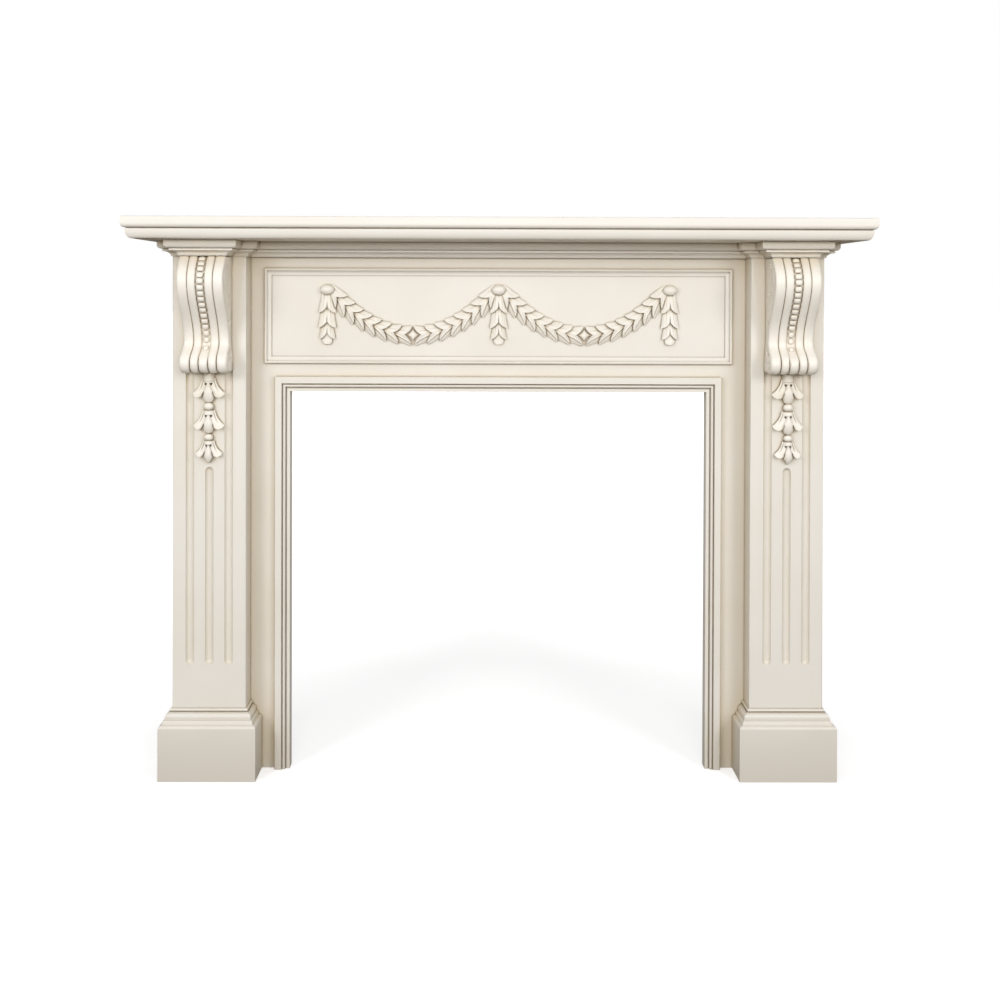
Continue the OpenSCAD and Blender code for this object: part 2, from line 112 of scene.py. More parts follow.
def walled(points, faces, rim, undercut):
    """Closes a front surface with walls that run back from its rim, and a flat back. undercut is
    the share of the way to the middle by which the back draws in."""
    foot = points[rim].copy()
    middle = foot.mean(axis=0)
    foot += (middle - foot) * undercut
    foot[:, 1] = -SUNK
    start = len(points)
    count = len(rim)
    for i in range(count):
        j = (i + 1) % count
        faces.append((rim[i], rim[j], start + j, start + i))
    faces.append(tuple(range(start, start + count)))
    return np.vstack([points, foot]), faces


def relief(front, undercut=0.0):
    """A solid whose front is a grid of points (across, outward, up) standing on the plane outward = 0."""
    rows, cols = front.shape[:2]
    return walled(front.reshape(-1, 3), grid_faces(rows, cols), rim_of(rows, cols), undercut)


def ringed(rings, spokes, hub, place):
    """A boss of rings round a middle. hub is the first ring's distance from it, in steps between
    rings, and place gives a point (across, outward, up) for its share of the way out and turn."""
    points = []
    for ring in range(rings):
        share = (ring + hub) / (rings - 1 + hub)
        for spoke in range(spokes):
            points.append(place(share, 2 * math.pi * spoke / spokes))
    faces = grid_faces(rings, spokes, closed=True)
    faces.append(tuple(range(spokes - 1, -1, -1)))
    rim = [(rings - 1) * spokes + spoke for spoke in range(spokes)]
    return walled(np.array(points), faces, rim, 0.0)


def dome(z, half_w, half_h, out, pits):
    """A rounded boss on the plane, with drilled pits given as (across, up, radius, depth)."""

    def place(share, turn):
        r = math.sin(0.5 * math.pi * share)
        across = half_w * r * math.cos(turn)
        up = z + half_h * r * math.sin(turn)
        height = out * math.sqrt(1 - min(r * r, 1))
        for pit_x, pit_z, radius, depth in pits:
            away = math.hypot(across - pit_x, up - pit_z) / radius
            height -= depth * math.exp(-away ** 4)
        return across, height, up

    return ringed(18, 44, 0.35, place)


def barrel(middle, along, out, halves, square=2.7, rings=11, spokes=20):
    """A bead, rounder the nearer square is to 2. along and out are unit vectors (across, outward,
    up), and halves are its half sizes across them, along and out."""
    half_w, half_l, half_d = halves
    across = np.cross(along, out)

    def eased(value):
        return math.copysign(abs(value) ** (2 / square), value)

    points = []
    for ring in range(rings):
        tilt = math.pi * (ring / (rings - 1) - 0.5)
        flat = eased(math.cos(tilt))
        for spoke in range(spokes):
            turn = 2 * math.pi * spoke / spokes
            points.append(middle + across * half_w * flat * eased(math.cos(turn))
                          + out * half_d * flat * eased(math.sin(turn))
                          + along * half_l * eased(math.sin(tilt)))
    return np.array(points), grid_faces(rings, spokes, closed=True)


def ball(z, out, half_w, half_h, half_d):
    """A ball or flattened boss, its middle that far out from the plane."""
    middle = np.array([0, out, z])
    along = np.array([0, 0, 1.0])
    return barrel(middle, along, np.array([0, 1.0, 0]), (half_w, half_h, half_d), 2, 25, 36)


def sheet(points):
    """A part that is one open sheet, from a grid of points (across, outward, up)."""
    return points.reshape(-1, 3), grid_faces(*points.shape[:2])


def box_part(width, out, low, high):
    """A block on the plane from low to high, evenly about the middle."""
    sides = (-width / 2, width / 2)
    corners = np.array([(x, y, z) for x in sides for y in (0, out) for z in (low, high)])
    faces = [(0, 1, 3, 2), (4, 6, 7, 5), (0, 4, 5, 1), (2, 3, 7, 6), (0, 2, 6, 4), (1, 5, 7, 3)]
    return corners, faces


def build(name, parts, origin, side, slot, nodes):
    """Joins the parts into one piece at an origin in the frame, mirrored where side is -1. It
    replaces these nodes."""
    points, faces = [], []
    for part_points, part_faces in parts:
        start = sum(len(p) for p in points)
        points.append(part_points)
        faces += [tuple(start + i for i in face) for face in part_faces]
    local = np.vstack(points)
    placed = np.column_stack([
        origin[0] + side * local[:, 0], origin[1] - local[:, 1], origin[2] + local[:, 2]])
    mesh = bpy.data.meshes.new(name)
    mesh.from_pydata(placed.tolist(), [], faces)
    work = bmesh.new()
    work.from_mesh(mesh)
    bmesh.ops.remove_doubles(work, verts=work.verts, dist=SAME_POINT)
    bmesh.ops.dissolve_degenerate(work, edges=work.edges, dist=NO_LENGTH)
    bmesh.ops.recalc_face_normals(work, faces=work.faces)
    work.to_mesh(mesh)
    work.free()
    mesh.shade_smooth()
    mesh.set_sharp_from_angle(angle=math.radians(CARVED_SHARP))
    piece = bpy.data.objects.new(name, mesh)
    bpy.context.scene.collection.objects.link(piece)
    piece.data.materials.append(PAINTS[slot])
    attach(piece, "root")
    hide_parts(*nodes)


def bezier(points, t):
    """A point on the Bezier curve with these control points, or on the line between two."""
    points = [np.asarray(p, float) for p in points]
    while len(points) > 1:
        points = [a + (b - a) * t for a, b in zip(points, points[1:])]
    return points[0]


def eased_step(value, low, high):
    """0 below low, 1 above high and a smooth rise between."""
    t = np.clip((value - low) / (high - low), 0, 1)
    return t * t * (3 - 2 * t)


def ridge(value, middle, width):
    """1 at the middle, falling smoothly to almost nothing two widths away."""
    return math.exp(-((value - middle) / width) ** 2)


def arch(share):
    """Rises from 0 to 1 at half way and falls back to 0, where it stays past the end."""
    return math.sin(math.pi * min(1.0, share))


# ---- Paint ----

CREAM = (0.78, 0.745, 0.685)
CREAM_WARM = (0.755, 0.715, 0.64)
PAINT_IOR = 1.46
# The two creams drift into each other in soft clouds, warm below one value and pale above the other
CLOUD_SCALE = 5.0
CLOUD_DETAIL = 4.0
CLOUD_WARM = 0.30
CLOUD_PALE = 0.62
# What the clouds take from the roughness at the least and add to it at the most
GLOSS_LESS = 0.05
GLOSS_MORE = 0.06
# Brush marks: how fine they are, how much they are drawn out up and down, and their height
BRUSH_SCALE = 420.0
BRUSH_DETAIL = 3.0
BRUSH_DRAWN = 0.22
BRUSH_H = 0.4 * MM
# Painted shade in wide hollows and in narrow crevices: its colour, how near the surfaces that close
# a place in have to be, and how open the place is where the painted shade is full and where it ends
HOLLOW_SHADE = (0.56, 0.44, 0.25)
HOLLOW_REACH = 80 * MM
HOLLOW_OPEN = (0.05, 0.82)
CREVICE_SHADE = (0.20, 0.15, 0.09)
CREVICE_REACH = 5 * MM
CREVICE_OPEN = (0.3, 0.88)
OPENNESS_SAMPLES = 5
# Painted shade: the paint's colour darker near the floor, and at its full colour from this height up
FLOOR_SHADE = (0.665, 0.62, 0.545)
FLOOR_SHADE_H = 0.22
# Sockets of a colour mix, whose names are shared with those of its other data types
MIX_FIRST = 6
MIX_SECOND = 7
MIX_RESULT = 2


def mapped(nodes, links, value, low, high, to_low=0.0, to_high=1.0, kind="LINEAR"):
    """The value moved from the range low to high into another one."""
    node = nodes.new("ShaderNodeMapRange")
    node.interpolation_type = kind
    node.inputs["From Min"].default_value = low
    node.inputs["From Max"].default_value = high
    node.inputs["To Min"].default_value = to_low
    node.inputs["To Max"].default_value = to_high
    links.new(value, node.inputs["Value"])
    return node.outputs["Result"]


def mixed(nodes, links, tint, colour, share):
    """The tint where the share is 0, going over to the colour where it is 1."""
    node = nodes.new("ShaderNodeMix")
    node.data_type = "RGBA"
    node.inputs[MIX_FIRST].default_value = (*tint, 1)
    links.new(colour, node.inputs[MIX_SECOND])
    links.new(share, node.inputs["Factor"])
    return node.outputs[MIX_RESULT]


def tinted(nodes, links, value, stops):
    """A colour that goes from one stop to the next, each given as (value, colour)."""
    node = nodes.new("ShaderNodeValToRGB")
    for element, (position, colour) in zip(node.color_ramp.elements, stops):
        element.position = position
        element.color = (*colour, 1)
    links.new(value, node.inputs["Fac"])
    return node.outputs["Color"]


def noise(nodes, links, place, scale, detail):
    node = nodes.new("ShaderNodeTexNoise")
    node.inputs["Scale"].default_value = scale
    node.inputs["Detail"].default_value = detail
    links.new(place, node.inputs["Vector"])
    return node.outputs["Fac"]


def painted_shade(nodes, links, colour, tint, reach, openness):
    """The colour turned towards a tint where surfaces within reach close it in, as painted shade."""
    near = nodes.new("ShaderNodeAmbientOcclusion")
    near.samples = OPENNESS_SAMPLES
    near.inputs["Distance"].default_value = reach
    share = mapped(nodes, links, near.outputs["AO"], *openness)
    return mixed(nodes, links, tint, colour, share)


def shaded_towards_floor(nodes, links, colour):
    """The colour darkened towards the floor, as painted shade."""
    place = nodes.new("ShaderNodeNewGeometry")
    split = nodes.new("ShaderNodeSeparateXYZ")
    links.new(place.outputs["Position"], split.inputs["Vector"])
    share = mapped(nodes, links, split.outputs["Z"], 0.0, FLOOR_SHADE_H, kind="SMOOTHSTEP")
    return mixed(nodes, links, FLOOR_SHADE, colour, share)


def paint(name, brush, roughness, lift=1.0):
    """Satin cream paint over wood, a little uneven, with faint brush marks of that strength. Its
    colour is the two creams times lift, with painted shade darkening it towards the floor and in
    hollows and crevices."""
    material = bpy.data.materials.new(name)
    material.use_nodes = True
    nodes, links = material.node_tree.nodes, material.node_tree.links
    shader = nodes["Principled BSDF"]
    shader.inputs["IOR"].default_value = PAINT_IOR
    place = nodes.new("ShaderNodeTexCoord")

    clouds = noise(nodes, links, place.outputs["Object"], CLOUD_SCALE, CLOUD_DETAIL)
    warm = [lift * share for share in CREAM_WARM]
    pale = [lift * share for share in CREAM]
    cream = tinted(nodes, links, clouds, ((CLOUD_WARM, warm), (CLOUD_PALE, pale)))
    # Painted shade: the colour darker towards the floor
    floor_shaded = shaded_towards_floor(nodes, links, cream)
    # Painted shade: the colour darkened in wide hollows, then in narrow crevices, where surfaces close it
    # in
    hollow = painted_shade(nodes, links, floor_shaded, HOLLOW_SHADE, HOLLOW_REACH, HOLLOW_OPEN)
    crevice = painted_shade(nodes, links, hollow, CREVICE_SHADE, CREVICE_REACH, CREVICE_OPEN)
    links.new(crevice, shader.inputs["Base Color"])

    gloss = mapped(nodes, links, clouds, 0.0, 1.0, roughness - GLOSS_LESS, roughness + GLOSS_MORE)
    links.new(gloss, shader.inputs["Roughness"])

    stretch = nodes.new("ShaderNodeMapping")
    stretch.inputs["Scale"].default_value = (1.0, 1.0, BRUSH_DRAWN)
    links.new(place.outputs["Object"], stretch.inputs["Vector"])
    marks = noise(nodes, links, stretch.outputs["Vector"], BRUSH_SCALE, BRUSH_DETAIL)
    bump = nodes.new("ShaderNodeBump")
    bump.inputs["Strength"].default_value = brush
    bump.inputs["Distance"].default_value = BRUSH_H
    links.new(marks, bump.inputs["Height"])
    links.new(bump.outputs["Normal"], shader.inputs["Normal"])
    return material


# Each paint's brush marks and roughness, and the lift of its colour
PAINTS = {
    "board_paint": paint("board_paint", 0.10, 0.40),
    "moulding_paint": paint("moulding_paint", 0.07, 0.38),
    # Painted light: the carvings take the same cream lifted, a lighter copy for the light they catch
    "carving_paint": paint("carving_paint", 0.06, 0.42, 1.12),
}


# ---- Boards and mouldings keep the frame's own shapes ----

BOARD_WORDS = ("board", "pilaster", "plinth")
CARVING_WORDS = ("corbel", "husk", "swag", "garland")
# Edges of the frame's own shapes that bend by more than this stay sharp, in degrees
SHARP_ANGLE = 32
# How much the upright edges at the pilasters' fronts are rounded
EASED_EDGE = 1.6 * MM
# Points of the frame's meshes this near each other are one, and this near a plane lie on it
WELD_DIST = 0.01 * MM
ON_PLANE = 0.1 * MM


def slot_of(name):
    """The paint that a node of the frame takes, from the words in its name."""
    if any(word in name for word in CARVING_WORDS):
        return "carving_paint"
    return "board_paint" if any(word in name for word in BOARD_WORDS) else "moulding_paint"


def finish_cad_node(name, node):
    """Paints a node and smooths it, with its sharp edges kept."""
    node.data.materials.clear()
    node.data.materials.append(PAINTS[slot_of(name)])
    for face in node.data.polygons:
        face.use_smooth = True
        face.material_index = 0
    weld = node.modifiers.new("weld", "WELD")
    weld.merge_threshold = WELD_DIST
    split = node.modifiers.new("sharp edges", "EDGE_SPLIT")
    split.split_angle = math.radians(SHARP_ANGLE)


def ease_front_edges(node, width):
    """Rounds a board's edges where its front meets its two sides. The others stay sharp."""
    front = min(v.co.y for v in node.data.vertices)
    weights = node.data.attributes.new("bevel_weight_edge", "FLOAT", "EDGE")
    sides = [min(v.co.x for v in node.data.vertices), max(v.co.x for v in node.data.vertices)]
    for edge in node.data.edges:
        ends = [node.data.vertices[i].co for i in edge.vertices]
        at_front = all(abs(end.y - front) < ON_PLANE for end in ends)
        at_side = any(all(abs(end.x - x) < ON_PLANE for end in ends) for x in sides)
        weights.data[edge.index].value = 1.0 if at_front and at_side else 0.0
    bevel = node.modifiers.new("eased edges", "BEVEL")
    bevel.limit_method = "WEIGHT"
    bevel.width = width
    bevel.segments = 3
    # The bevel goes in ahead of the split, which would part the faces beside it
    while node.modifiers[-1].name != "sharp edges":
        node.modifiers.move(len(node.modifiers) - 1, len(node.modifiers) - 2)


# ---- Corbels ----

# How far the face stands out under the cap, at the bulge and at the waist, and how far the last two
# lie under the cap
HEAD_P = 70 * MM
BULGE_P = CORBEL_HIGH.y - CORBEL_LOW.y
WAIST_P = 34 * MM
BULGE_DROP = 58 * MM
WAIST_DROP = CORBEL_H - 72 * MM
# The scroll at the foot: its radius, how far out its middle lies and where it begins
SCROLL_R = 24.5 * MM
SCROLL_P = 46 * MM
SCROLL_START = math.radians(40)
# The underside ends this far in front of the back, and points this near its level lie on it
FOOT_END = 1 * MM
FOOT_NEAR = 0.05 * MM
# The corbel widens by one share over this height at its head, and by another from this far under
# the cap to the middle of the scroll
HEAD_SPREAD = 0.02
HEAD_SPREAD_H = 45 * MM
FOOT_SPREAD = 0.055
FOOT_SPREAD_TOP = WAIST_DROP - 10 * MM
# How far a reed's edges lie under its middle line on the face and on the scroll, and how square
# its section is, where 2 is round
REED_CROWN = 4.6 * MM
FOOT_CROWN = 8.0 * MM
REED_SQUARE = 2.4
OUTER_REED = 0.22 * CORBEL_W
INNER_REED = 0.18 * CORBEL_W
CHANNEL_D = 5.5 * MM
CHANNEL_HALF = CORBEL_W / 2 - OUTER_REED - INNER_REED
# The channel fills up between these two distances under the cap
CURL_TOP = CORBEL_H - 2 * SCROLL_R - 8 * MM
CURL_BOTTOM = CORBEL_H - 0.8 * SCROLL_R
# Beads: their pitch, the first one's distance from the cap in pitches, their half sizes across,
# along and out, and how far their middles lie under the face
BEAD_PITCH = 15.6 * MM
BEAD_FIRST = 0.45
BEAD_HALF_W = 8.8 * MM
BEAD_HALF_L = 7.1 * MM
BEAD_HALF_D = 7.4 * MM
BEAD_SUNK = 6.8 * MM
# They dwindle by this share over this height above the waist, and end this far below it
BEAD_DWINDLE = 0.3
BEAD_DWINDLE_H = 45 * MM
BEAD_END = 12 * MM
# The profile's points lie this far apart and are smoothed this many times
PROFILE_STEP = 1.5 * MM
PROFILE_SMOOTHINGS = 6
# How far the block at the head runs down into the reeds
HEAD_LAP = 1 * MM


def face_projection(drop):
    """How far the face stands out at this distance under the cap, down to the waist."""
    if drop <= BULGE_DROP:
        return BULGE_P - (BULGE_P - HEAD_P) * (1 - math.sin(0.5 * math.pi * drop / BULGE_DROP))
    swing = math.cos(math.pi * (drop - BULGE_DROP) / (WAIST_DROP - BULGE_DROP))
    return WAIST_P + (BULGE_P - WAIST_P) * (0.5 + 0.5 * swing)


def corbel_profile():
    """Evenly spaced points (outward, up) from the cap down the face, round the foot and back."""
    drops = np.linspace(0, WAIST_DROP, 120)
    line = [(face_projection(drop), -drop) for drop in drops]
    middle = np.array([SCROLL_P, SCROLL_R - CORBEL_H])
    heading = np.array([math.sin(SCROLL_START), -math.cos(SCROLL_START)])
    waist = np.array(line[-1])
    meeting = middle + SCROLL_R * np.array([math.cos(SCROLL_START), math.sin(SCROLL_START)])
    swing = 0.4 * (meeting[0] - waist[0])
    ogee = [waist, waist - (0, swing), meeting - heading * swing, meeting]
    line += [tuple(bezier(ogee, t)) for t in np.linspace(0, 1, 30)[1:-1]]
    for turn in np.linspace(SCROLL_START, -math.pi / 2, 40):
        line.append((middle[0] + SCROLL_R * math.cos(turn), middle[1] + SCROLL_R * math.sin(turn)))
    line.append((FOOT_END, -CORBEL_H))
    line = np.array(line)
    gone = np.concatenate([[0], np.cumsum(np.hypot(*np.diff(line, axis=0).T))])
    count = int(gone[-1] / PROFILE_STEP)
    even = np.column_stack([
        np.interp(np.linspace(0, gone[-1], count), gone, line[:, k]) for k in (0, 1)])
    for _ in range(PROFILE_SMOOTHINGS):
        even[1:-1] = (even[:-2] + 2 * even[1:-1] + even[2:]) / 4
    return even


def rounded_reed(t, crown):
    """How far a reed lies under the profile, from 0 on its middle line to crown at its edges."""
    return crown * (1 - (1 - abs(t) ** REED_SQUARE) ** (1 / REED_SQUARE))


def across_reeds(crown, curl):
    """Places across the corbel and how far its front lies under the profile there. The channel
    between the reeds fills up into a reed of its own as curl goes from 0 to 1."""
    places, depths = [], []
    edges = [CHANNEL_HALF, CHANNEL_HALF + INNER_REED, CORBEL_W / 2]
    for low, high in zip(edges, edges[1:]):
        for t in np.sin(np.linspace(-0.5, 0.5, 17) * math.pi):
            places.append((low + high) / 2 + t * (high - low) / 2)
            depths.append(rounded_reed(t, crown))
    channel = [(t * CHANNEL_HALF, CHANNEL_D * (1 - curl) + rounded_reed(t, crown) * curl)
               for t in (0, 0.3, 0.55, 0.75, 0.9, 0.98)]
    places = np.array([x for x, _ in channel] + places)
    depths = np.array([d for _, d in channel] + depths)
    return np.concatenate([-places[:0:-1], places]), np.concatenate([depths[:0:-1], depths])


# Incised curves and drilled eyes on the corbel's side faces (outward, up), in millimetres
SIDE_LINES = [
    [(60, -2), (78, -22), (91, -80), (64, -76)],
    [(24, -120), (34, -160), (14, -200), (24, -230)],
    [(24, -230), (36, -224), (60, -232), (58, -252)],
    [(58, -252), (54, -268), (34, -266), (36, -250)],
]
SIDE_EYES = [
    (50, -20), (52, -31), (33, -82), (30, -101),
    (21, -154), (46, -249), (20, -243), (16, -222),
]
LINE_HALF = 2.4 * MM
LINE_D = 2.4 * MM
EYE_R = 4.2 * MM
EYE_D = 6 * MM
# The cuts fade out over this share of a side face behind its front edge
SIDE_MARGIN = 0.06


def side_depth(out, up):
    """How deep the corbel's side face is cut at these points."""
    cut = np.zeros_like(out)
    for line in SIDE_LINES:
        for t in np.linspace(0, 1, 60):
            p, z = bezier(line, t) * MM
            away = np.hypot(out - p, up - z) / LINE_HALF
            cut = np.maximum(cut, LINE_D * np.exp(-away ** 2))
    for p, z in SIDE_EYES:
        away = np.hypot(out - p * MM, up - z * MM) / EYE_R
        cut = np.maximum(cut, EYE_D * np.exp(-away ** 4))
    return cut


def reeded_front(profile, outward):
    """The corbel's face and scroll: a row of points across it for each point of the profile."""
    drops = -profile[:, 1]
    curl = eased_step(drops, CURL_TOP, CURL_BOTTOM)
    spread = (1 + HEAD_SPREAD * eased_step(-drops, -HEAD_SPREAD_H, 0)
              + FOOT_SPREAD * eased_step(drops, FOOT_SPREAD_TOP, CORBEL_H - SCROLL_R))
    rows = []
    for (p, z), normal, share, widening in zip(profile, outward, curl, spread):
        places, depths = across_reeds(REED_CROWN + (FOOT_CROWN - REED_CROWN) * share, share)
        rows.append(np.column_stack([
            places * widening, p - depths * normal[0], z - depths * normal[1]]))
    return np.array(rows)


def carved_side(edge):
    """A side face from this front edge straight back to the pilaster, with its cuts."""
    shares = np.linspace(0, 1, 62)
    out = edge[:, 1][:, None] * (1 - shares)
    up = np.repeat(edge[:, 2][:, None], len(shares), axis=1)
    inset = side_depth(out, up) * eased_step(shares, 0, SIDE_MARGIN)
    across = edge[:, 0][:, None] * (1 - inset / (CORBEL_W / 2))
    return np.stack([across, out, up], axis=2)


def corbel_parts():
    profile = corbel_profile()
    slope = np.gradient(profile, axis=0)
    slope /= np.hypot(*slope.T)[:, None]
    outward = np.column_stack([-slope[:, 1], slope[:, 0]])
    front = reeded_front(profile, outward)
    # The sides and the back end where the profile has reached the corbel's underside
    foot = int(np.argmax(profile[:, 1] < -CORBEL_H + FOOT_NEAR))
    back = np.array([[(x, 0, z) for x in (-CORBEL_W / 2, CORBEL_W / 2)]
                     for z in front[:foot, 0, 2]])
    parts = [sheet(front)]
    parts += [sheet(carved_side(front[:foot, column])) for column in (0, -1)]
    parts.append(sheet(back))
    parts.append(box_part(CORBEL_W, HEAD_P, -HEAD_LAP, CORBEL_HIGH.z - CAP_FOOT))
    parts += bead_string(profile, slope, outward)
    return parts


def bead_string(profile, slope, outward):
    """Beads in the channel, from just under the cap to the waist, where they dwindle."""
    parts = []
    step = BEAD_PITCH / PROFILE_STEP
    index = BEAD_FIRST * step
    while -profile[int(round(index)), 1] < WAIST_DROP + BEAD_END:
        i = int(round(index))
        dwindling = eased_step(-profile[i, 1], WAIST_DROP - BEAD_DWINDLE_H, WAIST_DROP)
        size = 1 - BEAD_DWINDLE * dwindling
        middle = np.array([0, *(profile[i] - outward[i] * BEAD_SUNK)])
        halves = (BEAD_HALF_W * size, BEAD_HALF_L, BEAD_HALF_D * size)
        parts.append(barrel(middle, np.array([0, *slope[i]]), np.array([0, *outward[i]]), halves))
        index += step
    return parts


# ---- Husk drops ----

HUSK_PITCH = 73 * MM
# From the top down: each husk's rise above its even place, the width and height of its petals
# as shares of the full size, the length of its middle petal in millimetres, and whether it ends
# in a point
HUSKS = (
    (3.5 * MM, 1.0, 0.99, 49, False),
    (0.5 * MM, 0.96, 0.97, 45, False),
    (2.0 * MM, 0.84, 0.84, 43, True),
)
# Balls under all but the last husk: how far below its neck, how far out, and the half sizes of
# the upper one across and along, each of which is less by BALL_LESS in the next
BALL_FALL = 63 * MM
BALL_OUT = 7 * MM
BALL_HALF_W = 11.6 * MM
BALL_HALF_H = 9.4 * MM
BALL_LESS = 1 * MM
# The half-round stub that the top husk hangs from
STUB_H = 18 * MM
STUB_R = 13 * MM
STUB_OUT = 4 * MM

# The values up to SIDE_LEAST are in millimetres, from a husk's neck at its middle.
# The boss under the neck: its middle's height and its half sizes across, up and outward
NECK_Z = -8
NECK_HALVES = (15.2, 11.5, 14.6)
# Drilled eyes on both sides of the middle petal's top
PIT_X = 6.2
PIT_Z = -13.5
PIT_R = 2.2
PIT_D = 9
# The middle petal: its top, its half width there and what its swelling adds by the widest place,
# which lies this share of the way down
MIDDLE_TOP = -11
MIDDLE_HALF = 3.6
MIDDLE_SWELL = 8.9
MIDDLE_WIDEST = 0.66
# Edges of a side petal (across, up) at its root, bend and outer end, from the middle outwards
SIDE_ROOT = ((3.5, -6), (15.2, 1))
SIDE_BEND = ((7, -26), (18, -21))
SIDE_END = ((12, -33), (15, -49), (32, -50), (38.5, -36))
# The place of its crease, as a share of its width, and the least that it stands out
SIDE_CREASE = 0.72
SIDE_LEAST = 2.2


def middle_petal(length, pointed):
    """The long petal at a husk's front, with a crease down its middle."""
    rows = []
    for t in np.sin(np.linspace(0, 0.5, 28) * math.pi):
        taper = max(0.0, (t - MIDDLE_WIDEST) / (1 - MIDDLE_WIDEST))
        ending = (1 - taper) ** 0.72 if pointed else math.sqrt(1 - taper ** 2)
        swell = math.sin(0.5 * math.pi * min(t / MIDDLE_WIDEST, 1)) ** 1.3
        half = (MIDDLE_HALF + MIDDLE_SWELL * swell) * ending
        crest = 14.0 + 5.0 * arch(0.05 + 0.9 * t) - 6.5 * t ** 3
        row = []
        for a in np.linspace(-1, 1, 23):
            out = crest - 4.6 * abs(a) ** 2.6 - 0.5 * ridge(a, 0, 0.09)
            row.append((a * half, out, MIDDLE_TOP - length * t))
        rows.append(row)
    return relief(np.array(rows) * MM, 0.12)


def side_petal(side):
    """A flared petal at a husk's side, creased down its length, with a lifted lip and a point at
    its outer end."""
    rows = []
    for t in np.linspace(0, 1, 34):
        row = []
        for a in np.linspace(0, 1, 31):
            x, z = bezier([bezier(edge, a) for edge in (SIDE_ROOT, SIDE_BEND, SIDE_END)], t)
            reach = 16.3 + 23.5 * t
            crown = (12.4 - 0.6 * t) * max(0.0, 1 - (x / reach) ** 2) ** 0.5
            lip = 7.5 * t ** 5 * arch(a * 0.7 + 0.25)
            hollow = 1.6 * math.sin(math.pi * t) * math.sin(math.pi * a) ** 2
            crease = 1.8 * ridge(a, SIDE_CREASE, 0.06) * arch(0.15 + t)
            pit = PIT_D * math.exp(-(math.hypot(x - PIT_X, z - PIT_Z) / PIT_R) ** 4)
            row.append((side * x, max(crown + lip - hollow - crease - pit, SIDE_LEAST), z))
        rows.append(row)
    return relief(np.array(rows) * MM, 0.20)


def husk_parts(width, height, length, pointed):
    """A husk with its neck at the origin. Its middle petal keeps its own length."""
    pits = [(side * PIT_X * MM, PIT_Z * MM, PIT_R * MM, PIT_D * MM) for side in (-1, 1)]
    parts = [dome(NECK_Z * MM, *(half * MM for half in NECK_HALVES), pits)]
    parts += [side_petal(side) for side in (-1, 1)]
    parts = [(points * (width, 1, height), faces) for points, faces in parts]
    points, faces = middle_petal(length, pointed)
    parts.append((points * (width, 1, 1), faces))
    return parts


def stub_part():
    """The half-round stub, from above the neck of the top husk down into it."""
    turns = np.radians(np.linspace(-90, 90, 25))
    rows = [[(STUB_R * math.sin(t), STUB_OUT + STUB_R * math.cos(t), z) for t in turns]
            for z in (STUB_H, 0.5 * STUB_H, 0, -2 * MM)]
    return relief(np.array(rows))


def husk_drop_parts():
    parts = [stub_part()]
    for i, (rise, width, height, length, pointed) in enumerate(HUSKS):
        fall = -i * HUSK_PITCH
        for points, faces in husk_parts(width, height, length, pointed):
            parts.append((points + (0, 0, fall + rise), faces))
        if i < len(HUSKS) - 1:
            half_w = BALL_HALF_W - i * BALL_LESS
            half_h = BALL_HALF_H - i * BALL_LESS
            parts.append(ball(fall - BALL_FALL, BALL_OUT, half_w, half_h, half_h))
    return parts


# ---- Leaves of the drops and garlands ----

# A leaf's width at its foot, as a share of its full width
LEAF_BASE = 0.64
# Shares of a leaf's width at which its rim starts at the foot, and which it crosses by the end
RIM_START = 0.08
RIM_SWING = 0.72
# The rim's half width, and how far outside it a dip lies and the dip's half width, as shares too
RIM_HALF = 0.09
DIP_PLACE = 0.18
DIP_HALF = 0.07
# How far a leaf swells at its middle, how high its rib is if it has no rim, and how far its outer
# edge lifts at the point
LEAF_SWELL = 2.0 * MM
RIB_H = 1.1 * MM
EDGE_LIFT = 2.4 * MM


def lobe(at, heading, side, back, ahead, width, low, high, slit, keel=0.0):
    """One of a pair of leaves. at is the pair's notch on its spine (across, up), heading is the
    angle it points along, side is 1 or -1, and it runs from back behind the notch to ahead of it.
    The leaf rises from low to high, slit is the width of the gap beside the notch, and keel is
    the height of a rim that runs from the spine to the leaf's point."""
    along = np.array([math.cos(heading), math.sin(heading)])
    outward = side * np.array([-along[1], along[0]])
    rows = []
    for r in np.linspace(0, 1, 25):
        row = []
        rim_at = RIM_START + RIM_SWING * r ** 1.6
        for f in np.linspace(0, 1, 25):
            end = ahead * (1 - (1 - f) ** 2)
            u = -back + (end + back) * r
            v = width * f * (LEAF_BASE + (1 - LEAF_BASE) * r ** 1.1)
            v += slit * (1 - f) * max(0.0, (r - 0.55) / 0.45)
            rounded = 1 - (0.78 * f ** 1.5 if keel else 0.55 * f ** 2.4)
            rise = (low + (high - low) * r ** 1.2) * rounded
            swell = LEAF_SWELL * math.sin(math.pi * f ** 0.9) * arch(0.12 + 0.62 * r)
            rim = keel * ridge(f, rim_at, RIM_HALF)
            rim -= 0.8 * keel * ridge(f, rim_at + DIP_PLACE, DIP_HALF)
            rib = 0.0 if keel else RIB_H * ridge(f, 0.5, 0.05) * (1 - r ** 10)
            lift = EDGE_LIFT * r ** 8 * ridge(f, 1, 0.16)
            place = np.asarray(at) + along * u + outward * v
            row.append((place[0], rise + swell + rim - rib + lift, place[1]))
        rows.append(row)
    return relief(np.array(rows), 0.10)


# The boss at the top of a leaf drop: its half sizes across, up and outward, and how far out its
# middle lies
BOSS_W = 17 * MM
BOSS_H = 12.2 * MM
BOSS_D = 12 * MM
BOSS_OUT = 7 * MM
# Its pairs of leaves from the top down: how far down the notch between their points lies, how far
# above it their feet begin, and the width of each leaf
DROP_PAIRS = (
    (42 * MM, 34 * MM, 21.5 * MM),
    (78 * MM, 40 * MM, 22 * MM),
    (105 * MM, 32 * MM, 19.5 * MM),
)
